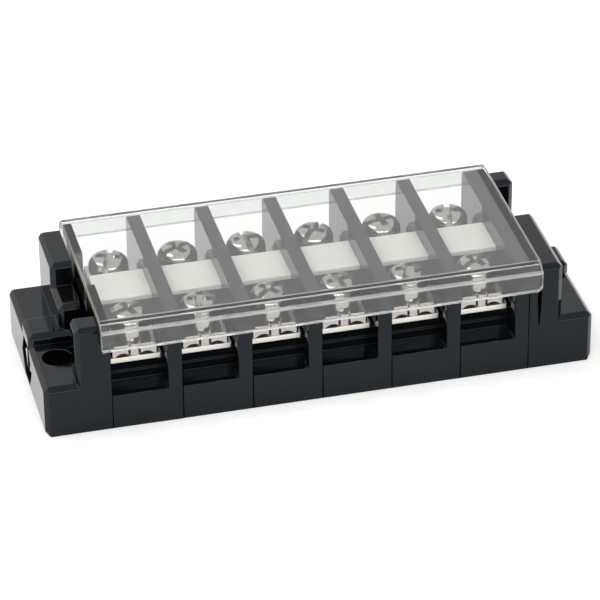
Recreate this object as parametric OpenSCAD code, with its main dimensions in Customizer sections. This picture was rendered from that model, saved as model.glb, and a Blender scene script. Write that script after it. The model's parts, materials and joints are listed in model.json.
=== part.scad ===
// Barrier terminal strip: six poles, moulded pole modules clamped between two
// end plates by a tie rod, screw clamps on both sides, clear lift-off cover.
// Millimetres. X runs along the strip, -Y is the front, +Z is up.
// The origin is at the centre of the mounting face.

/* [Pole modules] */
// Distance from one pole to the next
pitch = 14; // [13.5:0.5:18]
// Depth of the moulded base, front face to back face
base_depth = 39; // [38:0.5:46]
// Height of the low wall in front of each bay
lip_height = 7.5; // [6.5:0.1:8.5]
// Thickness of the barrier between two poles
barrier_t = 2.8; // [2.2:0.1:3.2]
// Height of the barrier tops
barrier_top = 23.4; // [23.1:0.1:27]
// How far the barrier edges stand back from the base faces
barrier_setback = 0.1; // [0.05:0.05:0.4]
// Chamfer on the top corners of a barrier
barrier_chamfer = 0.7; // [0.3:0.1:1]
// Distance of the bar seat's wall from the middle line
seat_half = 13.6; // [13:0.1:14]
// Depth of the small ledge at the foot of that wall
ledge_depth = 0.5; // [0.3:0.1:0.8]
// Height of that ledge
ledge_height = 9.3; // [9:0.1:10.5]
// Height of the floor that carries the terminal bar
seat_height = 11.8; // [11.5:0.1:13]
// Width of the ridge between the front and back screws
ridge_width = 9.2; // [8.4:0.2:9.4]
// Height of the ridge that carries the marker strip
ridge_top = 18.4; // [17.6:0.1:19]
// Small chamfer on the front and back edges of the base
lip_chamfer = 0.12; // [0.1:0.02:0.5]
// Broken edge on both sides of each seam
seam_chamfer = 0.15; // [0.1:0.05:0.3]

/* [End plates] */
// Length of an end plate, from its seam to its end face
end_length = 13.3; // [13:0.1:16]
// Thickness of the wall that closes the outer bay
end_wall_t = 1.72; // [1.5:0.01:2]
// Width of the groove between that wall and the towers
groove_w = 0.7; // [0.5:0.1:0.8]
// Height of the bottom of that groove
groove_floor = 9.8; // [9:0.1:10.4]
// Thickness of the towers, along the strip
tower_t = 4.4; // [3.9:0.1:4.6]
// Height of the towers
tower_top = 23.3; // [22:0.1:25]
// Height of the mounting foot
foot_top = 11; // [10.8:0.1:12]
// Chamfer on the outer edges of the end plates
edge_chamfer = 1; // [0.6:0.1:1.2]
// Chamfer along the bottom of an end face
toe_chamfer = 0.9; // [0.4:0.1:1]
// Length of the left plate's front tower
left_front_tower = 5.8; // [5:0.1:7]
// Length of the left plate's back tower
left_back_tower = 14; // [13.5:0.1:14.4]
// Length of the low block in front of that tower
low_block = 7.9; // [7:0.1:8.5]
// Length of the right plate's front tower
right_front_tower = 21.3; // [19.5:0.1:22]
// Length of the right plate's back tower
right_back_tower = 5.3; // [4.6:0.1:6.5]
// Length of the raised pad over the nut pocket
pad_length = 7.8; // [7.6:0.1:9]
// Distance of the pad from the middle line, towards the back
pad_offset = 0.5; // [0:0.1:0.8]
// Height of the raised pad
pad_top = 13.2; // [12.8:0.1:14]

/* [Mounting holes] */
// Diameter of a mounting hole
mount_hole_d = 5.8; // [4.5:0.1:6]
// Distance of a mounting hole from the end face
mount_hole_inset = 4.7; // [4.5:0.1:5.2]
// Distance of a mounting hole from the middle line
mount_hole_offset = 8.5; // [8.4:0.1:9.2]

/* [Tie rod] */
// Diameter of the tie rod
rod_d = 5; // [4:0.5:5]
// Distance of the tie rod from the middle line
rod_offset = 0; // [-0.1:0.1:0.1]
// Height of the tie rod's axis
rod_height = 5.75; // [5.6:0.05:5.9]
// Width across flats of the rod's nut
nut_af = 8; // [7:0.5:8]
// Thickness of the rod's nut
nut_t = 4; // [3:0.1:4.2]
// Depth of the nut pocket in the end face
pocket_depth = 5.5; // [5.5:0.1:6]
// Length of rod that stands out of its nut
rod_end = 1.2; // [0.5:0.1:1.2]

/* [Terminals] */
// Thickness of the terminal bar
bar_t = 1.13; // [0.8:0.01:1.5]
// Length of the terminal bar, front to back
bar_length = 29.6; // [29:0.1:31]
// Corner radius of the terminal bar
bar_corner = 0.4; // [0.3:0.1:1]
// Distance of a terminal screw from the middle line
screw_offset = 10; // [9.8:0.1:10.2]
// Diameter of the terminal screw's shank
screw_d = 3.9; // [3.4:0.1:4]
// Length of the terminal screw under its head
screw_length = 10; // [8:0.5:10.5]
// Diameter of the screw head
head_d = 8; // [7:0.1:8.4]
// Height of the screw head
head_h = 3.1; // [2.6:0.1:3.2]
// Width and depth of the clamp plate
clamp_size = 9.4; // [9:0.1:9.5]
// Thickness of the clamp plate's lower layer
clamp_lower_t = 1.95; // [1.6:0.05:2.1]
// Thickness of the clamp plate's folded upper layer
clamp_upper_t = 0.85; // [0.6:0.05:1]
// Width of the tab between the clamp plate's two wire grooves
groove_tab = 1.65; // [1.5:0.05:2]
// Height of the wire grooves under the clamp plate
wire_groove_h = 0.75; // [0.5:0.05:0.9]
// Outer diameter of the spring washer
spring_d = 7.1; // [6.4:0.1:7.4]
// Thickness of the spring washer
spring_t = 1.1; // [0.8:0.05:1.2]

/* [Marker strip] */
// Width of the marker strip
strip_width = 9.8; // [9.4:0.1:10]
// Thickness of the marker strip
strip_t = 1.1; // [0.8:0.1:1.3]

/* [Cover] */
// Gap between the barriers and the cover, which rests on the end plates
cover_gap = 0.1; // [0.05:0.05:0.2]
// Thickness of the clear cover
cover_t = 1.5; // [1.2:0.1:2]
// Overhang of the cover past the front and back faces of the base
cover_overhang = 2.3; // [2.1:0.1:3]
// Height of the cover's front and back lips, from the cover's top
cover_lip = 6; // [5:0.1:7]
// Width of the bevel along the cover's front and back corners
cover_bevel_w = 2.3; // [2:0.1:3]
// Height of that bevel
cover_bevel_h = 1.7; // [1.5:0.1:2.5]
// Radius of the lips' lower corners at the right end
cover_corner = 1.3; // [0.5:0.1:1.6]
// How far the cover reaches past the outer seams
cover_reach = 2; // [1.8:0.1:2.2]

/* [Fits] */
// Radial clearance of the screws in the terminal bars
screw_fit = 0.05; // [0.03:0.01:0.08]
// Radial clearance of the locating pegs
peg_fit = 0.05; // [0.03:0.01:0.1]
// Clearance round the bars and the marker strip in their slots
slot_fit = 0.15; // [0.1:0.05:0.2]
// Clearance each side of the nut in its pocket
pocket_fit = 0.35; // [0.2:0.05:0.35]
// Radial clearance of the screws in their clamp plates and spring washers
plate_fit = 0.2; // [0.1:0.05:0.3]
// Radial clearance of the tie rod in the mouldings
rod_fit = 0.2; // [0.1:0.05:0.3]
// Radial clearance of the tie rod in its nuts
nut_fit = 0.05; // [0.03:0.01:0.08]

/* [Hidden] */
$fn = 64;

poles = 6;
seam = poles * pitch / 2;              // outer seams lie at -seam and +seam
base_half = base_depth / 2;
barrier_half = base_half - barrier_setback;
cover_seat = barrier_top + cover_gap;   // top of the end plates' inner walls
bay_w = pitch - barrier_t;
ridge_half = ridge_width / 2;
end_face = seam + end_length;

// Locating pegs between neighbouring mouldings
peg_d = 3;
peg_length = 1;
peg_gap = 0.2;                         // spare depth behind a peg
peg_offset = 9;
peg_height = 4.5;

// Terminal bar and the stack that each screw clamps onto it
bar_side_gap = 0.3;                    // between the bar and the barriers
bar_w = bay_w - 2 * bar_side_gap;
bar_top = seat_height + bar_t;
layer_gap = 0.15;                      // shadow line between the clamp's layers
clamp_t = clamp_lower_t + layer_gap + clamp_upper_t;
spring_seat = bar_top + clamp_t;
head_seat = spring_seat + spring_t;
clamp_hole_d = screw_d + 2 * plate_fit;
relief_gap = 0.35;                     // round a screw in the moulding
relief_d = screw_d + 2 * relief_gap;
relief_spare = 0.8;                    // free depth below a screw's tip

// Marker strip
strip_end_gap = 0.2;
strip_left_inset = 0.6;
window_half = strip_width / 2 + slot_fit;

// Nut pocket
nut_corner = nut_af / cos(30) / 2;
pocket_corner = (nut_af + 2 * pocket_fit) / cos(30) / 2;
rod_hole_d = rod_d + 2 * rod_fit;

// Left plate: gap for the marker strip in the wall that closes the outer bay
wall_gap_front = -window_half;
wall_gap_back = base_half - left_back_tower + 2 * barrier_chamfer;

// Angle at which each screw was left, front row then back row
FRONT_TURNS = [20, 75, 40, 100, 65, 30];
BACK_TURNS = [70, 25, 95, 50, 10, 80];

eps = 0.01;

function bay_centre(pole) = -seam + (pole - 1) * pitch + bay_w / 2;
function module_left(pole) = -seam + (pole - 1) * pitch;

// ---- shared shapes -------------------------------------------------------

// Extrudes a Y-Z outline along +X
module along_x(length) {
    rotate([90, 0, 90]) linear_extrude(length) children();
}

module bore_x(d, length) {
    rotate([0, 90, 0]) cylinder(d = d, h = length);
}

// Block from the plane x0 out to x1, chamfered on all its outer edges
module chamfer_block(x0, x1, y0, y1, top, c) {
    intersection() {
        linear_extrude(top)
            polygon([[x0, y0], [x1 - c, y0], [x1, y0 + c],
                     [x1, y1 - c], [x1 - c, y1], [x0, y1]]);
        translate([0, y1, 0]) rotate([90, 0, 0]) linear_extrude(y1 - y0)
            polygon([[x0, 0], [x1, 0], [x1, top - c], [x1 - c, top], [x0, top]]);
        translate([x0, 0, 0]) along_x(x1 - x0)
            polygon([[y0, 0], [y1, 0], [y1, top - c], [y1 - c, top],
                     [y0 + c, top], [y0, top - c]]);
    }
}

// Outline of a barrier, or of an end plate's inner wall
module barrier_outline(top) {
    c = barrier_chamfer;
    polygon([[-barrier_half, 0], [barrier_half, 0],
             [barrier_half, top - c], [barrier_half - c, top],
             [-barrier_half + c, top], [-barrier_half, top - c]]);
}

// Outline of the low base: front and back walls with a broken edge
module plinth_outline() {
    c = lip_chamfer;
    polygon([[-base_half, 0], [base_half, 0],
             [base_half, lip_height - c], [base_half - c, lip_height],
             [-base_half + c, lip_height], [-base_half, lip_height - c]]);
}

// Broken vertical edges of the base and the barriers in the plane x = 0
module seam_edges() {
    side_length = sqrt(2) * seam_chamfer;
    for (side = [-1, 1], cut = [[base_half, -1, lip_height], [barrier_half, lip_height, cover_seat + 1]])
        translate([0, side * cut[0], cut[1]]) rotate([0, 0, 45])
            translate([-side_length / 2, -side_length / 2, 0])
                cube([side_length, side_length, cut[2] - cut[1]]);
}

// Two pegs that point along -X from the plane x = 0
module pegs() {
    for (side = [-1, 1])
        translate([-peg_length, side * peg_offset, peg_height])
            bore_x(peg_d, peg_length + eps);
}

// The two sockets for such pegs, in a part that ends at x = 0
module peg_sockets() {
    depth = peg_length + peg_gap;
    for (side = [-1, 1])
        translate([-depth, side * peg_offset, peg_height])
            bore_x(peg_d + 2 * peg_fit, depth + eps);
}

// ---- pole module: one moulding with an open bay and one barrier ----------

module seat_outline() {
    ledge_half = seat_half + ledge_depth;
    polygon([[-ledge_half, 0], [ledge_half, 0],
             [ledge_half, ledge_height], [seat_half, ledge_height],
             [seat_half, seat_height], [ridge_half, seat_height],
             [ridge_half, ridge_top], [-ridge_half, ridge_top],
             [-ridge_half, seat_height], [-seat_half, seat_height],
             [-seat_half, ledge_height], [-ledge_half, ledge_height]]);
}

module pole_module(pole) {
    relief_depth = screw_length - (head_seat - seat_height) + relief_spare;
    color([0.07, 0.07, 0.08]) translate([module_left(pole), 0, 0])
        difference() {
            union() {
                along_x(pitch) plinth_outline();
                along_x(pitch) seat_outline();
                translate([bay_w, 0, 0]) along_x(barrier_t) barrier_outline(barrier_top);
                pegs();
            }
            // tunnel that holds the terminal bar in the ridge
            translate([bar_side_gap - slot_fit, -ridge_half - 1, seat_height])
                cube([bar_w + 2 * slot_fit, ridge_width + 2, bar_t + slot_fit]);
            // room for the screws below the bar
            for (side = [-1, 1])
                translate([bay_w / 2, side * screw_offset, seat_height - relief_depth])
                    cylinder(d = relief_d, h = relief_depth + 1);
            // window that the marker strip runs through
            translate([bay_w - eps, -window_half, ridge_top])
                cube([barrier_t + 2 * eps, 2 * window_half, strip_t + slot_fit]);
            // tie rod and the next module's pegs
            translate([-1, rod_offset, rod_height]) bore_x(rod_hole_d, pitch + 2);
            translate([pitch, 0, 0]) peg_sockets();
            for (x = [0, pitch]) translate([x, 0, 0]) seam_edges();
        }
}

// ---- end plates: drawn with the seam at x = 0 and the end face at +X -----

// Six-sided bar along +X, with two corners in the plane of the base
module hex_x(corner, length) {
    rotate([90, 0, 90]) linear_extrude(length) circle(corner, $fn = 6);
}

module nut_pocket() {
    translate([0, rod_offset, rod_height]) {
        translate([end_length - pocket_depth, 0, 0]) hex_x(pocket_corner, pocket_depth + 1);
        translate([-1, 0, 0]) bore_x(rod_hole_d, end_length);
    }
}

// Groove that frees the inner wall from a tower; it narrows towards its bottom
module wall_groove(y0, y1) {
    w = groove_w / 2;
    translate([end_wall_t + w, y1 + eps, groove_floor]) rotate([90, 0, 0])
        linear_extrude(y1 - y0 + 2 * eps)
            polygon([[-w / 4, 0], [w / 4, 0], [w, 5], [w, barrier_top], [-w, barrier_top], [-w, 5]]);
}

// runs: [y0, y1, height, grooved] of each block that stands on the foot
module end_plate(runs, hole_y) {
    tower_x = end_wall_t + groove_w;
    difference() {
        union() {
            along_x(tower_x) plinth_outline();
            chamfer_block(end_wall_t, end_length, -base_half, base_half,
                          foot_top, edge_chamfer);
            along_x(end_wall_t) barrier_outline(cover_seat);
            for (run = runs)
                chamfer_block(end_wall_t, tower_x + tower_t, run[0], run[1],
                              run[2], edge_chamfer);
            chamfer_block(end_wall_t, end_length,
                          pad_offset - pad_length / 2, pad_offset + pad_length / 2,
                          pad_top, edge_chamfer);
        }
        for (run = runs) if (run[3]) wall_groove(run[0], run[1]);
        nut_pocket();
        seam_edges();
        translate([end_length, 0, 0]) rotate([0, 45, 0])
            cube([sqrt(2) * toe_chamfer, base_depth + 2, sqrt(2) * toe_chamfer], center = true);
        translate([end_length - mount_hole_inset, hole_y, -1])
            cylinder(d = mount_hole_d, h = foot_top + 2);
    }
}

module end_plate_left() {
    back_start = base_half - left_back_tower;
    runs = [[-base_half, -base_half + left_front_tower, tower_top, false],
            [back_start - low_block, back_start + 2 * edge_chamfer, ridge_top, true],
            [back_start, base_half, tower_top, true]];
    color([0.07, 0.07, 0.08]) difference() {
        translate([-seam, 0, 0]) mirror([1, 0, 0])
            end_plate(runs, -mount_hole_offset);
        translate([-seam, 0, 0]) peg_sockets();
        // way in for the marker strip
        translate([-seam - end_wall_t - eps, wall_gap_front, ridge_top])
            cube([end_wall_t + 2 * eps, wall_gap_back - wall_gap_front, barrier_top]);
    }
}

module end_plate_right() {
    runs = [[-base_half, -base_half + right_front_tower, tower_top, true],
            [base_half - right_back_tower, base_half, tower_top, true]];
    color([0.07, 0.07, 0.08]) translate([seam, 0, 0]) {
        end_plate(runs, mount_hole_offset);
        pegs();
    }
}

// ---- tie rod -------------------------------------------------------------

module tie_rod() {
    reach = end_face - pocket_depth + nut_t + rod_end;
    color("silver") translate([-reach, rod_offset, rod_height])
        bore_x(rod_d, 2 * reach);
}

module tie_rod_nuts() {
    seat = end_face - pocket_depth;
    color("silver") for (side = [-1, 1])
        translate([side > 0 ? seat : -seat - nut_t, rod_offset, rod_height])
            difference() {
                hex_x(nut_corner, nut_t);
                translate([-1, 0, 0]) bore_x(rod_d + 2 * nut_fit, nut_t + 2);
            }
}

// ---- terminals -----------------------------------------------------------

module terminal_bar(pole) {
    x0 = bar_w / 2 - bar_corner;
    y0 = bar_length / 2 - bar_corner;
    color([0.88, 0.87, 0.8]) translate([bay_centre(pole), 0, seat_height])
        difference() {
            linear_extrude(bar_t) {
                square([bar_w, 2 * y0], center = true);
                square([2 * x0, bar_length], center = true);
                for (x = [-x0, x0], y = [-y0, y0]) translate([x, y]) circle(bar_corner);
            }
            for (side = [-1, 1]) translate([0, side * screw_offset, -1])
                cylinder(d = screw_d + 2 * screw_fit, h = bar_t + 2);
        }
}

// Places a child at a screw's axis, turned so that -Y faces the nearer bay mouth
module at_screw(pole, side, z) {
    translate([bay_centre(pole), side * screw_offset, z])
        rotate([0, 0, side > 0 ? 180 : 0]) children();
}

// Lens-shaped wire groove between the corner leg and the middle tab
module wire_groove_outline() {
    leg = 0.85;
    width = (clamp_size - groove_tab) / 2 - leg;
    radius = (pow(width / 2, 2) + pow(wire_groove_h, 2)) / (2 * wire_groove_h);
    for (side = [-1, 1])
        translate([side * (groove_tab + width) / 2, wire_groove_h - radius]) intersection() {
            circle(radius, $fn = 96);
            translate([-width, radius - wire_groove_h - eps]) square([2 * width, 2]);
        }
}

module plate_outline(size, corner) {
    h = size / 2;
    polygon([[-h + corner, -h], [h - corner, -h], [h, -h + corner], [h, h - corner],
             [h - corner, h], [-h + corner, h], [-h, h - corner], [-h, -h + corner]]);
}

// Pressed plate folded over itself, with two wire grooves below
module clamp_plate(pole, side) {
    tab_half = groove_tab / 2;
    slit_w = 0.35;
    slit_l = 1.4;
    corner = 0.3;
    upper_size = clamp_size - 0.7;
    neck_size = upper_size - 0.8;
    color([0.8, 0.79, 0.76]) at_screw(pole, side, bar_top) difference() {
        union() {
            linear_extrude(clamp_lower_t) plate_outline(clamp_size, corner);
            // the neck stands back, so a dark line parts the two layers
            linear_extrude(clamp_t) plate_outline(neck_size, corner);
            translate([0, 0, clamp_lower_t + layer_gap])
                linear_extrude(clamp_upper_t) plate_outline(upper_size, corner);
        }
        translate([0, clamp_size, 0]) rotate([90, 0, 0])
            linear_extrude(2 * clamp_size) wire_groove_outline();
        for (x = [-tab_half - slit_w, tab_half])
            translate([x, -clamp_size, -1]) cube([slit_w, clamp_size / 2 + slit_l, 2 * clamp_t]);
        translate([0, 0, -1]) cylinder(d = clamp_hole_d, h = clamp_t + 2);
    }
}

module spring_washer(pole, side) {
    split = 0.7;
    color([0.75, 0.74, 0.72]) at_screw(pole, side, spring_seat) difference() {
        cylinder(d = spring_d, h = spring_t);
        translate([0, 0, -1]) cylinder(d = clamp_hole_d, h = spring_t + 2);
        rotate([0, 0, -60]) translate([0, -split / 2, -1])
            cube([spring_d, split, spring_t + 2]);
    }
}

// Outline of the screw: straight rim, rounded shoulder, low crown, plain shank
module screw_outline() {
    rim = 1.2;
    shoulder = head_h - rim;
    flat = head_d / 2 - shoulder;
    tip = 0.5;
    polygon([[0, -screw_length], [screw_d / 2 - tip, -screw_length],
             [screw_d / 2, -screw_length + tip], [screw_d / 2, 0.1], [0, 0.1]]);
    square([head_d / 2, rim]);
    square([flat, head_h]);
    intersection() {
        translate([flat, rim]) circle(shoulder);
        square([head_d / 2, head_h]);
    }
}

// Combined recess: a slot right across, and a shorter cross arm
module driver_recess() {
    slot_w = 1.1;
    slot_depth = 1.3;
    arm_w = 1.1;
    arm_l = 5.4;
    arm_depth = 1.5;
    translate([-head_d, -slot_w / 2, head_h - slot_depth])
        cube([2 * head_d, slot_w, slot_depth + 1]);
    translate([-arm_w / 2, -arm_l / 2, head_h - arm_depth])
        cube([arm_w, arm_l, arm_depth + 1]);
    translate([0, 0, head_h - 2.2]) cylinder(d1 = 1, d2 = 2.6, h = 2.2 + eps);
}

module screw(pole, side) {
    turn = side < 0 ? FRONT_TURNS[pole - 1] : BACK_TURNS[pole - 1];
    color([0.72, 0.7, 0.68])
        translate([bay_centre(pole), side * screw_offset, head_seat])
            rotate([0, 0, turn]) difference() {
                rotate_extrude() screw_outline();
                driver_recess();
            }
}

// ---- marker strip and cover ----------------------------------------------

module marker_strip() {
    h = strip_width / 2;
    c = 0.25;
    left = -seam + strip_left_inset;
    color([0.95, 0.95, 0.92]) translate([left, 0, ridge_top])
        along_x(seam - strip_end_gap - left)
            polygon([[-h, 0], [h, 0], [h, strip_t - c], [h - c, strip_t],
                     [-h + c, strip_t], [-h, strip_t - c]]);
}

// Channel section with bevelled long corners, open below
module channel_outline(half, top, bottom, bevel_w, bevel_h) {
    polygon([[-half, bottom], [half, bottom], [half, top - bevel_h], [half - bevel_w, top],
             [-half + bevel_w, top], [-half, top - bevel_h]]);
}

// Size of the inner bevel along one direction, so that the wall keeps its thickness
function inner_bevel(along, across) =
    along * (1 + cover_t * sqrt(1 / pow(along, 2) + 1 / pow(across, 2)) - cover_t / across) - cover_t;

module cover() {
    half = base_half + cover_overhang;
    top = cover_seat + cover_t;
    bottom = top - cover_lip;
    end_x = seam + cover_reach;
    color([0.8, 0.9, 0.88, 0.35]) difference() {
        translate([-end_x, 0, 0]) along_x(2 * end_x) difference() {
            channel_outline(half, top, bottom, cover_bevel_w, cover_bevel_h);
            channel_outline(half - cover_t, cover_seat, bottom - 5,
                            inner_bevel(cover_bevel_w, cover_bevel_h),
                            inner_bevel(cover_bevel_h, cover_bevel_w));
        }
        translate([end_x - cover_corner, half + 1, bottom + cover_corner]) rotate([90, 0, 0])
            linear_extrude(2 * half + 2) difference() {
                translate([0, -cover_corner - 1]) square([cover_corner + 1, cover_corner + 1]);
                circle(cover_corner);
            }
    }
}

// ---- nodes ---------------------------------------------------------------

end_plate_left();
end_plate_right();
for (i = [1:poles]) {
    pole_module(i);
    terminal_bar(i);
    clamp_plate(i, -1);
    clamp_plate(i, 1);
    spring_washer(i, -1);
    spring_washer(i, 1);
    screw(i, -1);
    screw(i, 1);
}
marker_strip();
cover();
tie_rod();
tie_rod_nuts();
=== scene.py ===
# Barrier terminal strip: moulded pole modules, screw clamps, marker strip and clear cover
import json
import math

import bmesh
import bpy
from mathutils import Matrix, Vector


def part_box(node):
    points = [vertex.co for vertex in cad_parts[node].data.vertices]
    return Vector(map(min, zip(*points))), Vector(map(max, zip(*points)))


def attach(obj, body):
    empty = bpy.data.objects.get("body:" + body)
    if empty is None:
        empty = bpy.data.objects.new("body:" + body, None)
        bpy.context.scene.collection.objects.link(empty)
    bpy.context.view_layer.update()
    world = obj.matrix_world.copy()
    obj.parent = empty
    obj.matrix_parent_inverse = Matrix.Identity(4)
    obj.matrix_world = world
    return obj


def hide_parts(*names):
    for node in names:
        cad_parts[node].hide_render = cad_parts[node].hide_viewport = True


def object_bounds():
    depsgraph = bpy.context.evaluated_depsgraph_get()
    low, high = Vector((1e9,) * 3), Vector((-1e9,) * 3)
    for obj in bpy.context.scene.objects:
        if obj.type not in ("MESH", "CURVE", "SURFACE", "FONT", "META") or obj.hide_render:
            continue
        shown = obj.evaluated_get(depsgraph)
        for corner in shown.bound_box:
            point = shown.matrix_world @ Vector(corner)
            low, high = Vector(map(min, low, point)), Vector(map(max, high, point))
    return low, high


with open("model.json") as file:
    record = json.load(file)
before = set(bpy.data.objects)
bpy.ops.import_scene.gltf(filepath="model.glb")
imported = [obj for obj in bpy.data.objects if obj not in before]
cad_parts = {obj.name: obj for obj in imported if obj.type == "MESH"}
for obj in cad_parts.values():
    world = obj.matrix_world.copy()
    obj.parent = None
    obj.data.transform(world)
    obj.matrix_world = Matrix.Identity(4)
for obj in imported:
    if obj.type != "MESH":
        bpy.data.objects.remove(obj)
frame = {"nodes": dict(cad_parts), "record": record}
cadLow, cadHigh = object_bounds()
nodes, record = frame["nodes"], frame["record"]
mm = 0.001
weld = 0.001 * mm  # points closer than this are one point
rows = ("front", "back")
poles = sorted(int(name.rsplit("_", 1)[1]) for name in nodes if name.startswith("pole_module_"))
bodyOf = {node: body for body, held in record["behaviour"]["bodies"].items() for node in held}
slotOf = {part["node"]: part["material_slot"] for part in record["subparts"]}
print("frame loaded:", len(nodes), "nodes,", len(poles), "poles")


# Small helpers

def clearSelection():
    if bpy.context.object and bpy.context.object.mode != "OBJECT":
        bpy.ops.object.mode_set(mode="OBJECT")
    bpy.ops.object.select_all(action="DESELECT")


def pick(obj):
    clearSelection()
    obj.select_set(True)
    bpy.context.view_layer.objects.active = obj
    return obj


def hexColour(code):  # sRGB hex to the linear values that shaders use
    parts = [int(code[i:i + 2], 16) / 255 for i in (1, 3, 5)]
    return [c / 12.92 if c <= 0.04045 else ((c + 0.055) / 1.055) ** 2.4 for c in parts] + [1.0]


def addNode(tree, kind, links=(), **settings):
    node = tree.nodes.new(kind)
    for key, value in settings.items():
        if hasattr(node, key):
            setattr(node, key, value)
        else:
            node.inputs[key.replace("_", " ")].default_value = value
    for socket, source in links:
        tree.links.new(source, node.inputs[socket])
    return node


def startMaterial(name):
    material = bpy.data.materials.new(name)
    material.use_nodes = True
    tree = material.node_tree
    tree.nodes.clear()
    return material, tree


def finishFrom(tree, pattern, look):  # the pattern varies the roughness and dents the surface
    smoothest, roughest = look["roughness"]
    rough = addNode(tree, "ShaderNodeMapRange", [("Value", pattern)], To_Min=smoothest, To_Max=roughest)
    dents = addNode(tree, "ShaderNodeBump", [("Height", pattern)], Distance=look["dent"])
    return [("Roughness", rough.outputs["Result"]), ("Normal", dents.outputs["Normal"])]


# Materials

phenolicLook = {
    "colour": "#060708", "paler": "#0c0d0f", "sheen": "#d3e2ec", "ior": 1.41,
    "roughness": (0.056, 0.098),
    "cloud": 6 * mm, "speck": 0.35 * mm, "ripple": 0.004 * mm,
}


def makePhenolic():  # thermoset pressed in a polished mould: black, glossy, faintly wavy
    look = phenolicLook
    smoothest, roughest = look["roughness"]
    material, tree = startMaterial("phenolic moulded black")
    points = addNode(tree, "ShaderNodeTexCoord").outputs["Object"]
    cloudy = addNode(tree, "ShaderNodeTexNoise", [("Vector", points)],
                     Scale=1 / look["cloud"], Detail=3, Roughness=0.55).outputs["Fac"]
    speck = addNode(tree, "ShaderNodeTexNoise", [("Vector", points)],
                    Scale=1 / look["speck"], Detail=1, Roughness=0.55).outputs["Fac"]
    colour = addNode(tree, "ShaderNodeMix", [("Factor", cloudy)], data_type="RGBA")
    colour.inputs["A"].default_value = hexColour(look["colour"])
    colour.inputs["B"].default_value = hexColour(look["paler"])
    rough = addNode(tree, "ShaderNodeMapRange", [("Value", speck)], To_Min=smoothest, To_Max=roughest)
    wavy = addNode(tree, "ShaderNodeBump", [("Height", cloudy)], Distance=look["ripple"])
    shader = addNode(tree, "ShaderNodeBsdfPrincipled", [
        ("Base Color", colour.outputs["Result"]),
        ("Roughness", rough.outputs["Result"]),
        ("Normal", wavy.outputs["Normal"]),
    ], IOR=look["ior"], Specular_Tint=hexColour(look["sheen"]))
    addNode(tree, "ShaderNodeOutputMaterial", [("Surface", shader.outputs["BSDF"])])
    return material


nickelLook = {"colour": "#b4aeab", "roughness": (0.066, 0.165), "grain": 0.5 * mm, "dent": 0.03 * mm}


def makeNickel():  # bright nickel on pressed steel: warm grey mirror with faint press marks
    look = nickelLook
    material, tree = startMaterial("nickel plated steel")
    points = addNode(tree, "ShaderNodeTexCoord").outputs["Object"]
    marks = addNode(tree, "ShaderNodeTexNoise", [("Vector", points)],
                    Scale=1 / look["grain"], Detail=3, Roughness=0.55).outputs["Fac"]
    shader = addNode(tree, "ShaderNodeBsdfPrincipled", finishFrom(tree, marks, look),
                     Metallic=1.0, Base_Color=hexColour(look["colour"]))
    addNode(tree, "ShaderNodeOutputMaterial", [("Surface", shader.outputs["BSDF"])])
    return material


tinLook = {"colour": "#eceae1", "roughness": (0.336, 0.504), "grain": 1.2 * mm, "dent": 0.006 * mm,
           "stretch": (8, 1, 8)}


def makeTin():  # matt tin on rolled brass: pale cream metal, with its grain along the rolling
    look = tinLook
    material, tree = startMaterial("tinned brass rolled")
    points = addNode(tree, "ShaderNodeTexCoord").outputs["Object"]
    rolled = addNode(tree, "ShaderNodeMapping", [("Vector", points)], Scale=look["stretch"])
    grain = addNode(tree, "ShaderNodeTexNoise", [("Vector", rolled.outputs["Vector"])],
                    Scale=1 / look["grain"], Detail=3, Roughness=0.55).outputs["Fac"]
    shader = addNode(tree, "ShaderNodeBsdfPrincipled", finishFrom(tree, grain, look),
                     Metallic=1.0, Base_Color=hexColour(look["colour"]))
    addNode(tree, "ShaderNodeOutputMaterial", [("Surface", shader.outputs["BSDF"])])
    return material


zincLook = {"colour": "#a9abad", "roughness": (0.21, 0.39), "cloud": 1.5 * mm}


def makeZinc():  # blue-passivated zinc on steel: grey with a cloudy sheen
    look = zincLook
    smoothest, roughest = look["roughness"]
    material, tree = startMaterial("zinc plated steel")
    points = addNode(tree, "ShaderNodeTexCoord").outputs["Object"]
    cloudy = addNode(tree, "ShaderNodeTexNoise", [("Vector", points)],
                     Scale=1 / look["cloud"], Detail=3, Roughness=0.55).outputs["Fac"]
    rough = addNode(tree, "ShaderNodeMapRange", [("Value", cloudy)], To_Min=smoothest, To_Max=roughest)
    shader = addNode(tree, "ShaderNodeBsdfPrincipled", [("Roughness", rough.outputs["Result"])],
                     Metallic=1.0, Base_Color=hexColour(look["colour"]))
    addNode(tree, "ShaderNodeOutputMaterial", [("Surface", shader.outputs["BSDF"])])
    return material


markerLook = {"colour": "#e2e0db", "roughness": (0.3825, 0.5175), "grain": 0.12 * mm,
              "dent": 0.004 * mm}


def makeMarker():  # extruded PVC with a fine writing grain: off-white, satin
    look = markerLook
    material, tree = startMaterial("pvc extruded white")
    points = addNode(tree, "ShaderNodeTexCoord").outputs["Object"]
    grain = addNode(tree, "ShaderNodeTexNoise", [("Vector", points)],
                    Scale=1 / look["grain"], Detail=2, Roughness=0.55).outputs["Fac"]
    shader = addNode(tree, "ShaderNodeBsdfPrincipled", finishFrom(tree, grain, look),
                     Base_Color=hexColour(look["colour"]))
    addNode(tree, "ShaderNodeOutputMaterial", [("Surface", shader.outputs["BSDF"])])
    return material


coverLook = {
    "colour": "#f0f2f0", "roughness": 0.02, "ior": 1.52, "clearness": 0.985,
    "sawn": "#c2c6a4", "sawnShare": 0.6,
    "sawnFrom": 0.8, "sawnTo": 0.95,  # how far a surface faces the ends, where the sawn look starts
    # painted highlight: a white diffuse laid on the rounded edges by the way they face, in place of the
    # light they catch
    "edge": "#f2f4f2",
    "highlightPaintLevels": [  # how far a surface faces up or down, and its share of the painted white highlight along the edges
        (0.06, 0), (0.2, 0.3), (0.65, 0.3), (0.78, 0),
        (0.83, 0), (0.88, 0.36), (0.95, 0.36), (0.99, 0),
    ],
}


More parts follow.
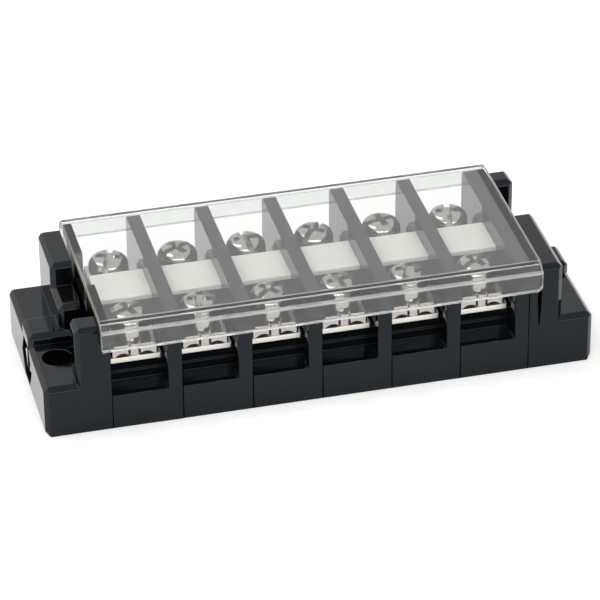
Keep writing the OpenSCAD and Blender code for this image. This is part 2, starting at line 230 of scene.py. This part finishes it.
def makeClear():  # extruded rigid plastic: clear, with painted white highlight lines along its edges, frosted sawn ends
    look = coverLook
    material, tree = startMaterial("clear plastic extruded")
    glass = addNode(tree, "ShaderNodeBsdfPrincipled", Metallic=0.0, Roughness=look["roughness"],
                    IOR=look["ior"], Base_Color=hexColour(look["colour"]),
                    Transmission_Weight=look["clearness"])
    facing = addNode(tree, "ShaderNodeSeparateXYZ",
                     [(0, addNode(tree, "ShaderNodeTexCoord").outputs["Normal"])])
    level, sideways = (addNode(tree, "ShaderNodeMath", [(0, facing.outputs[axis])],
                               operation="ABSOLUTE").outputs[0] for axis in ("Z", "X"))
    # painted highlight: the share of white diffuse is picked by how far the surface faces up or down
    rounded = addNode(tree, "ShaderNodeValToRGB", [("Fac", level)])
    stops = rounded.color_ramp.elements
    for facingUp, white in look["highlightPaintLevels"]:
        stop = stops.new(facingUp)
        stop.color = (white, white, white, 1)
    for end in (stops[0], stops[-1]):
        end.color = (0, 0, 0, 1)
    cut = addNode(tree, "ShaderNodeMapRange", [("Value", sideways)], From_Min=look["sawnFrom"],
                  From_Max=look["sawnTo"], To_Min=0, To_Max=look["sawnShare"])
    solid = glass.outputs["BSDF"]
    for share, colour in ((rounded.outputs["Color"], look["edge"]),
                          (cut.outputs["Result"], look["sawn"])):
        pale = addNode(tree, "ShaderNodeBsdfDiffuse", Color=hexColour(colour))
        solid = addNode(tree, "ShaderNodeMixShader", [
            (0, share), (1, solid), (2, pale.outputs["BSDF"])]).outputs[0]
    through = addNode(tree, "ShaderNodeBsdfTransparent", Color=hexColour(look["colour"]))
    ray = addNode(tree, "ShaderNodeLightPath")  # lamps shine through it
    mix = addNode(tree, "ShaderNodeMixShader", [
        (0, ray.outputs["Is Shadow Ray"]), (1, solid), (2, through.outputs["BSDF"])])
    addNode(tree, "ShaderNodeOutputMaterial", [("Surface", mix.outputs["Shader"])])
    return material


looks = {
    "moulding": makePhenolic(),
    "nickel": makeNickel(),
    "bar_plating": makeTin(),
    "zinc_steel": makeZinc(),
    "marker": makeMarker(),
    "clear_cover": makeClear(),
}
print("materials made:", ", ".join(looks))


# Finished pieces

def startPiece(name):
    piece = bpy.context.object
    piece.name = name
    return piece


def editAll():
    bpy.ops.object.mode_set(mode="EDIT")
    bpy.ops.mesh.select_all(action="SELECT")


def finishModifiers(piece):
    pick(piece)
    for modifier in list(piece.modifiers):
        bpy.ops.object.modifier_apply(modifier=modifier.name)


def settle(piece):  # puts the place and the turn into the mesh
    pick(piece)
    bpy.ops.object.transform_apply(location=True, rotation=True, scale=True)


def cutWith(piece, cutter, operation):
    modifier = piece.modifiers.new("shape", "BOOLEAN")
    modifier.object = cutter
    modifier.operation = operation
    modifier.solver = "EXACT"
    finishModifiers(piece)
    bpy.data.objects.remove(cutter, do_unlink=True)


def smooth(piece, angle=30):
    pick(piece)
    bpy.ops.object.shade_smooth_by_angle(angle=math.radians(angle))


def evenNormals(piece):  # large faces stay flat and the narrow ones beside them take up the turn
    even = piece.modifiers.new("even", "WEIGHTED_NORMAL")
    even.mode = "FACE_AREA"
    even.weight = 100
    even.keep_sharp = True
    finishModifiers(piece)


def selectEdges(piece, wanted):
    pick(piece)
    for polygon in piece.data.polygons:
        polygon.select = False
    for vertex in piece.data.vertices:
        vertex.select = False
    for edge in piece.data.edges:
        edge.select = edge.index in wanted
    bpy.ops.object.mode_set(mode="EDIT")
    bpy.ops.mesh.select_mode(type="EDGE")


def edgesWhere(piece, test):  # the test gets both ends of each edge
    points = [vertex.co for vertex in piece.data.vertices]
    return {edge.index for edge in piece.data.edges
            if test(*(points[end] for end in edge.vertices))}


sharpAngle = 25  # degrees between two faces above which their edge is rounded


def sharpEdges(piece, narrowest):  # leaves the edges of faces too narrow to take the rounding
    shape = bmesh.new()
    shape.from_mesh(piece.data)
    sharp = [edge for edge in shape.edges
             if len(edge.link_faces) == 2 and edge.calc_face_angle(0) > math.radians(sharpAngle)]
    tooNarrow = set()
    for edge in sharp:
        for face in edge.link_faces:
            if edge.calc_length() > narrowest and face.calc_area() / edge.calc_length() < narrowest:
                tooNarrow.add(face.index)
    wanted = {edge.index for edge in sharp
              if not any(face.index in tooNarrow for face in edge.link_faces)}
    shape.free()
    return wanted


def roundEdges(piece, radius, narrowest):
    selectEdges(piece, sharpEdges(piece, narrowest))
    bpy.ops.mesh.bevel(offset=radius, segments=2, affect="EDGES", clamp_overlap=False)
    bpy.ops.object.mode_set(mode="OBJECT")


rounding = {  # by kind of part: radius of its edges, and the narrowest face that takes it
    "end_plate": (0.15 * mm, 0.4 * mm),
    "pole_module": (0.14 * mm, 0.45 * mm),
    "terminal_bar": (0.12 * mm, 0.3 * mm),
    "clamp_plate": (0.09 * mm, 0.25 * mm),
    "marker_strip": (0.06 * mm, 0.2 * mm),
    "cover": (0.24 * mm, 0.6 * mm),
}


def roundedPart(node, kind):
    radius, narrowest = rounding[kind]
    piece = bpy.data.objects.new(node + "_finished", nodes[node].data.copy())
    bpy.context.collection.objects.link(piece)
    pick(piece)
    editAll()
    bpy.ops.mesh.remove_doubles(threshold=weld)
    bpy.ops.mesh.dissolve_limited(angle_limit=math.radians(0.5))
    bpy.ops.object.mode_set(mode="OBJECT")
    roundEdges(piece, radius, narrowest)
    smooth(piece, 40)
    evenNormals(piece)
    return piece


def place(piece, node):  # gives a piece the finish and the body of the node that it stands for
    piece.data.materials.clear()
    piece.data.materials.append(looks[slotOf[node]])
    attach(piece, bodyOf[node])
    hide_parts(node)


def copyTo(pattern, name, matrix):
    piece = bpy.data.objects.new(name, pattern.data.copy())
    bpy.context.collection.objects.link(piece)
    piece.data.transform(matrix)
    return piece


for node in nodes:
    kind = next((kind for kind in rounding if node.startswith(kind)), None)
    if kind:
        place(roundedPart(node, kind), node)
print("mouldings, bars, clamps, marker strip and cover rounded")


def threadedRod(name, thread, bottom, top):  # upright thread along Z, cut flat at both ends
    root, crest, pitch = thread["root"], thread["crest"], thread["pitch"]
    turns = math.ceil((top - bottom) / pitch) + 2
    bpy.ops.mesh.primitive_circle_add(vertices=4, radius=pitch / 2,
                                      location=(crest, 0, bottom - pitch))
    piece = startPiece(name)
    settle(piece)
    bpy.ops.object.mode_set(mode="EDIT")
    shape = bmesh.from_edit_mesh(piece.data)
    for vert in list(shape.verts):
        shape.verts.remove(vert)
    profile = [  # radius, and height as a share of the pitch
        (root, 0), (root, 0.12), (crest, 0.44), (crest, 0.56), (root, 0.88), (root, 1),
    ]
    made = [shape.verts.new((x, 0, bottom - pitch + z * pitch)) for x, z in profile]
    for first, second in zip(made, made[1:]):
        shape.edges.new((first, second))
    bmesh.update_edit_mesh(piece.data)
    bpy.ops.object.mode_set(mode="OBJECT")
    screw = piece.modifiers.new("thread", "SCREW")
    screw.axis = "Z"
    screw.screw_offset = pitch
    screw.iterations = turns
    screw.steps = screw.render_steps = thread["steps"]
    screw.use_merge_vertices = True
    screw.merge_threshold = weld
    finishModifiers(piece)
    for height, inner in ((bottom, True), (top, False)):
        editAll()
        bpy.ops.mesh.remove_doubles(threshold=weld)
        bpy.ops.mesh.select_all(action="SELECT")
        bpy.ops.mesh.bisect(plane_co=(0, 0, height), plane_no=(0, 0, 1), use_fill=True,
                            clear_inner=inner, clear_outer=not inner)
        bpy.ops.object.mode_set(mode="OBJECT")
    editAll()
    bpy.ops.mesh.normals_make_consistent(inside=False)
    bpy.ops.object.mode_set(mode="OBJECT")
    return piece


# Terminal screws

terminalScrew = {
    "headRadius": 4.0 * mm,
    "headHeight": 3.1 * mm,
    "shoulder": 1.9 * mm,        # radius of the rounded shoulder
    "shoulderSteps": 9,
    "underEdge": 0.15 * mm,
    "crown": 0.12 * mm,          # rise of the flat top, in rings
    "crownRings": 2,
    "crownRing": 0.65 * mm,
    "length": 10.0 * mm,         # under the head
    "slotWidth": 1.25 * mm,
    "slotDepth": 1.6 * mm,
    "armWidth": 1.45 * mm,
    "armLength": 5.4 * mm,
    "armDepth": 1.9 * mm,
    "armFloor": (0.85, 0.72),    # shares of the arm's width and length that its floor has
    "coneDepth": 2.6 * mm,
    "coneTip": 0.5 * mm,
    "coneMouth": 1.7 * mm,
    "shankInHead": 0.3 * mm,
    "thread": {"root": 1.5 * mm, "crest": 1.95 * mm, "pitch": 0.7 * mm, "steps": 28},
    "turns": {"front": [20, 75, 40, 100, 65, 30], "back": [70, 25, 95, 50, 10, 80]},
}


def recessCutter(name, along, across, depth, top):  # a block that stands proud of the top
    proud = 1 * mm
    bpy.ops.mesh.primitive_cube_add(size=1, location=(0, 0, top - depth / 2 + proud / 2))
    cutter = startPiece(name)
    cutter.scale = (along, across, depth + proud)
    settle(cutter)
    return cutter


def makeScrew():  # head underside at z = 0, turned so that the slot runs along X
    look = terminalScrew
    radius, height = look["headRadius"], look["headHeight"]
    bpy.ops.mesh.primitive_cylinder_add(vertices=72, radius=radius, depth=height,
                                        location=(0, 0, height / 2), end_fill_type="NGON")
    piece = startPiece("screw pattern")
    settle(piece)
    nearTop = height * 0.9
    selectEdges(piece, edgesWhere(piece, lambda a, b: min(a.z, b.z) > nearTop))
    bpy.ops.mesh.bevel(offset=look["shoulder"], segments=look["shoulderSteps"], affect="EDGES",
                       clamp_overlap=False)
    bpy.ops.object.mode_set(mode="OBJECT")
    selectEdges(piece, edgesWhere(piece, lambda a, b: max(a.z, b.z) < weld))
    bpy.ops.mesh.bevel(offset=look["underEdge"], segments=2, affect="EDGES")
    bpy.ops.mesh.select_all(action="DESELECT")
    bpy.ops.mesh.select_mode(type="FACE")
    bpy.ops.object.mode_set(mode="OBJECT")
    for face in piece.data.polygons:
        face.select = face.normal.z > 0.99 and face.center.z > nearTop
    bpy.ops.object.mode_set(mode="EDIT")
    for _ in range(look["crownRings"]):
        bpy.ops.mesh.inset(thickness=look["crownRing"], depth=look["crown"] / look["crownRings"])
    bpy.ops.object.mode_set(mode="OBJECT")

    slot = recessCutter("slot cutter", 3 * radius, look["slotWidth"], look["slotDepth"], height)
    cutWith(piece, slot, "DIFFERENCE")
    arm = recessCutter("arm cutter", look["armWidth"], look["armLength"], look["armDepth"], height)
    for vertex in arm.data.vertices:
        if vertex.co.z < height:
            vertex.co.x *= look["armFloor"][0]
            vertex.co.y *= look["armFloor"][1]
    cutWith(piece, arm, "DIFFERENCE")
    coneLift = 0.02 * mm  # over the crown, so that the faces don't coincide
    bpy.ops.mesh.primitive_cone_add(vertices=32, radius1=look["coneTip"], radius2=look["coneMouth"],
                                    depth=look["coneDepth"],
                                    location=(0, 0, height - look["coneDepth"] / 2 + coneLift))
    cone = startPiece("cone cutter")
    settle(cone)
    cutWith(piece, cone, "DIFFERENCE")
    thread = threadedRod("shank", look["thread"], -look["length"], look["shankInHead"])
    cutWith(piece, thread, "UNION")
    smooth(piece)
    return piece


def centreOf(node):
    low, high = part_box(node)
    return (low.x + high.x) / 2, (low.y + high.y) / 2


pattern = makeScrew()
for row in rows:
    for pole in poles:
        node = f"screw_{row}_{pole}"
        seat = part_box(node)[1].z - terminalScrew["headHeight"]
        x, y = centreOf(node)
        turn = Matrix.Rotation(math.radians(terminalScrew["turns"][row][pole - 1]), 4, "Z")
        place(copyTo(pattern, node + "_threaded", Matrix.Translation((x, y, seat)) @ turn), node)
bpy.data.objects.remove(pattern, do_unlink=True)
print("screws placed")


# Spring washers

springWasher = {
    "inner": 2.15 * mm,
    "outer": 3.55 * mm,
    "thick": 0.85 * mm,
    "lift": 0.2 * mm,              # by which one end stands above the other
    "gap": 20,                     # degrees left open at the split
    "steps": 48,
    "edge": (0.1 * mm, 0.3 * mm),  # radius, and the narrowest face that takes it
    "turns": {"front": -70, "back": 110},
}


def makeWasher():  # square section wound once, split and slightly sprung
    look = springWasher
    middle, width = (look["inner"] + look["outer"]) / 2, look["outer"] - look["inner"]
    bpy.ops.mesh.primitive_plane_add(size=1, location=(middle, 0, look["thick"] / 2),
                                     rotation=(math.pi / 2, 0, 0))
    piece = startPiece("washer pattern")
    piece.scale = (width, look["thick"], 1)
    settle(piece)
    editAll()
    bpy.ops.mesh.delete(type="ONLY_FACE")
    bpy.ops.object.mode_set(mode="OBJECT")
    wind = piece.modifiers.new("wind", "SCREW")
    wind.axis = "Z"
    wind.angle = math.radians(360 - look["gap"])
    wind.screw_offset = look["lift"]
    wind.steps = wind.render_steps = look["steps"]
    finishModifiers(piece)
    editAll()
    bpy.ops.mesh.select_mode(type="EDGE")
    bpy.ops.mesh.select_all(action="DESELECT")
    bpy.ops.mesh.select_non_manifold()
    bpy.ops.mesh.fill_holes(sides=4)
    bpy.ops.mesh.select_all(action="SELECT")
    bpy.ops.mesh.normals_make_consistent(inside=False)
    bpy.ops.object.mode_set(mode="OBJECT")
    roundEdges(piece, *look["edge"])
    smooth(piece)
    return piece


pattern = makeWasher()
for row in rows:
    for pole in poles:
        node = f"spring_washer_{row}_{pole}"
        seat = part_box(node)[0].z
        x, y = centreOf(f"screw_{row}_{pole}")
        turn = Matrix.Rotation(math.radians(springWasher["turns"][row]), 4, "Z")
        place(copyTo(pattern, node + "_wound", Matrix.Translation((x, y, seat)) @ turn), node)
bpy.data.objects.remove(pattern, do_unlink=True)
print("spring washers placed")


# Tie rod and its nuts

tieRod = {
    "thread": {"root": 2.0 * mm, "crest": 2.5 * mm, "pitch": 0.8 * mm, "steps": 28},
    "acrossFlats": 8.0 * mm,
    "nutThick": 4.0 * mm,
    "bore": 5.1 * mm,
    "countersink": 5.7 * mm,
    "sinkDepth": 0.7 * mm,
    "sinkSpare": 0.2 * mm,   # by which the cutting cone is wider and narrower than what it cuts
    "sinkInset": 0.15 * mm,  # middle of the cone under the nut's face
    "chamfer": 0.72 * mm,
    "cornerSpare": 0.02 * mm,
}


def alongX(x, y, z):
    return Matrix.Translation((x, y, z)) @ Matrix.Rotation(math.pi / 2, 4, "Y")


def makeRod():
    low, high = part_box("tie_rod")
    half = (high.x - low.x) / 2
    pattern = threadedRod("rod pattern", tieRod["thread"], -half, half)
    y, z = (low.y + high.y) / 2, (low.z + high.z) / 2
    piece = copyTo(pattern, "tie_rod_threaded", alongX(0, y, z))
    bpy.data.objects.remove(pattern, do_unlink=True)
    smooth(piece)
    return piece


def makeNut(name, matrix):
    look = tieRod
    thick, spare = look["nutThick"], look["sinkSpare"]
    corner = look["acrossFlats"] / math.cos(math.radians(30)) / 2
    bpy.ops.mesh.primitive_cylinder_add(vertices=6, radius=corner, depth=thick)
    piece = startPiece(name)
    bpy.ops.mesh.primitive_cylinder_add(vertices=72, radius=corner + look["cornerSpare"],
                                        depth=thick)
    disc = startPiece("nut turning")
    selectEdges(disc, edgesWhere(disc, lambda a, b: a.z * b.z > 0))  # both rims
    bpy.ops.mesh.bevel(offset=look["chamfer"], segments=1, affect="EDGES")
    bpy.ops.object.mode_set(mode="OBJECT")
    cutWith(piece, disc, "INTERSECT")
    bpy.ops.mesh.primitive_cylinder_add(vertices=48, radius=look["bore"] / 2, depth=thick * 2)
    cutWith(piece, startPiece("nut bore"), "DIFFERENCE")
    for side in (-1, 1):
        bpy.ops.mesh.primitive_cone_add(
            vertices=48, depth=look["sinkDepth"],
            radius1=look["countersink"] / 2 + spare, radius2=look["bore"] / 2 - spare,
            location=(0, 0, -side * (thick / 2 - look["sinkInset"])),
            rotation=(0 if side > 0 else math.pi, 0, 0))
        sink = startPiece("nut countersink")
        settle(sink)
        cutWith(piece, sink, "DIFFERENCE")
    piece.data.transform(matrix)
    smooth(piece)
    return piece


place(makeRod(), "tie_rod")
low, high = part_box("tie_rod_nuts")
y, z = (low.y + high.y) / 2, (low.z + high.z) / 2
half = tieRod["nutThick"] / 2
flatsUp = Matrix.Rotation(math.pi / 2, 4, "Z")
for side, x in (("left", low.x + half), ("right", high.x - half)):
    place(makeNut("tie_rod_nut_" + side, alongX(x, y, z) @ flatsUp), "tie_rod_nuts")
print("tie rod and nuts placed")


# Floor, light and camera

studio = {
    "floorSize": 6.0,
    "floorDrop": 0.02 * mm,    # under the part's feet
    "floorColour": "#f0f0ef",
    "floorGlow": 0.38,         # added where the paper is seen or mirrored, so that it shows white
    "skyTop": 0.85,            # light level straight above
    "skyLow": 0.22,            # height, as a sine, from which the sky brightens up to there
    "lowWhite": (0.06, 0.16),  # heights, as sines, between which the white from below fades out
}

softboxes = {  # turn in degrees from straight behind, to the right; rise above the floor
    "key": {"width": 0.6, "height": 0.6, "power": 3.6, "turn": -60, "rise": 60, "distance": 1.2},
    "front": {"width": 1.2, "height": 0.13, "power": 4.2, "turn": 188, "rise": 42, "distance": 1.0},
}


def backgroundSeen(tree):  # 1 where it is seen straight, mirrored or through clear parts
    ray = addNode(tree, "ShaderNodeLightPath").outputs
    mirrored = addNode(tree, "ShaderNodeMath", [
        (0, ray["Is Glossy Ray"]), (1, ray["Is Transmission Ray"])], operation="MAXIMUM")
    return addNode(tree, "ShaderNodeMath", [
        (0, ray["Is Camera Ray"]), (1, mirrored.outputs[0])], operation="MAXIMUM").outputs[0]


def makeFloor():
    height = cadLow.z - studio["floorDrop"]
    bpy.ops.mesh.primitive_plane_add(size=studio["floorSize"], location=(0, 0, height))
    floor = bpy.context.object
    floor.name = "floor"
    material, tree = startMaterial("floor paper")
    glow = addNode(tree, "ShaderNodeMath", [(0, backgroundSeen(tree))], operation="MULTIPLY")
    glow.inputs[1].default_value = studio["floorGlow"]
    paper = addNode(tree, "ShaderNodeBsdfDiffuse", Color=hexColour(studio["floorColour"]))
    light = addNode(tree, "ShaderNodeEmission", [("Strength", glow.outputs[0])])
    both = addNode(tree, "ShaderNodeAddShader", [(0, paper.outputs["BSDF"]), (1, light.outputs[0])])
    addNode(tree, "ShaderNodeOutputMaterial", [("Surface", both.outputs[0])])
    floor.data.materials.append(material)


def makeSky():  # white where it is seen or mirrored; as a light, dark just over the horizon
    world = bpy.data.worlds.new("studio")
    bpy.context.scene.world = world
    world.use_nodes = True
    tree = world.node_tree
    tree.nodes.clear()
    heading = addNode(tree, "ShaderNodeSeparateXYZ",
                      [(0, addNode(tree, "ShaderNodeTexCoord").outputs["Generated"])])
    height = heading.outputs["Z"]
    above = addNode(tree, "ShaderNodeMapRange", [("Value", height)], From_Min=studio["skyLow"],
                    From_Max=1, To_Min=0, To_Max=studio["skyTop"])
    fadeFrom, fadeTo = studio["lowWhite"]
    below = addNode(tree, "ShaderNodeMapRange", [("Value", height)], From_Min=fadeFrom,
                    From_Max=fadeTo, To_Min=1, To_Max=0)
    level = addNode(tree, "ShaderNodeMath", [
        (0, above.outputs["Result"]), (1, below.outputs["Result"])], operation="ADD")
    white = addNode(tree, "ShaderNodeMath", [(0, backgroundSeen(tree)), (1, level.outputs[0])],
                    operation="MAXIMUM")
    light = addNode(tree, "ShaderNodeBackground", [("Strength", white.outputs[0])],
                    Color=(1, 1, 1, 1))
    addNode(tree, "ShaderNodeOutputWorld", [("Surface", light.outputs["Background"])])


def makeSoftbox(name, box):
    turn, rise = math.radians(box["turn"]), math.radians(box["rise"])
    level = math.cos(rise)
    heading = Vector((math.sin(turn) * level, math.cos(turn) * level, math.sin(rise)))
    bpy.ops.object.light_add(type="AREA", location=heading * box["distance"])
    lamp = bpy.context.object
    lamp.name = name + "_softbox"
    lamp.data.shape = "RECTANGLE"
    lamp.data.size, lamp.data.size_y = box["width"], box["height"]
    lamp.data.energy = box["power"]
    lamp.rotation_euler = (-lamp.location).to_track_quat("-Z", "Y").to_euler()


cameraView = {
    "turn": 13.78,       # degrees to the left of straight ahead
    "rise": 31.98,       # degrees above the floor
    "roll": -0.52,
    "distance": 0.7234,
    "lens": 215.9,
    "sensor": 36,
    "aimRight": 0.24 * mm,
    "aimUp": 9.31 * mm,
}


def makeCamera():
    turn, rise, roll = (math.radians(cameraView[k]) for k in ("turn", "rise", "roll"))
    level = math.cos(rise)
    back = Vector((-math.sin(turn) * level, -math.cos(turn) * level, math.sin(rise)))
    right = Vector((0, 0, 1)).cross(back).normalized()
    up = back.cross(right)
    spot = right * cameraView["aimRight"] + up * cameraView["aimUp"] + back * cameraView["distance"]
    tiltedRight = right * math.cos(roll) + up * math.sin(roll)
    tiltedUp = up * math.cos(roll) - right * math.sin(roll)
    axes = Matrix((tiltedRight, tiltedUp, back)).transposed()
    bpy.ops.object.camera_add()
    camera = bpy.context.object
    camera.matrix_world = Matrix.Translation(spot) @ axes.to_4x4()
    camera.data.lens = cameraView["lens"]
    camera.data.sensor_width = cameraView["sensor"]
    bpy.context.scene.camera = camera


makeFloor()
makeSky()
for name, box in softboxes.items():
    makeSoftbox(name, box)
makeCamera()
bpy.context.scene.view_settings.view_transform = "Standard"
print("studio and camera set")
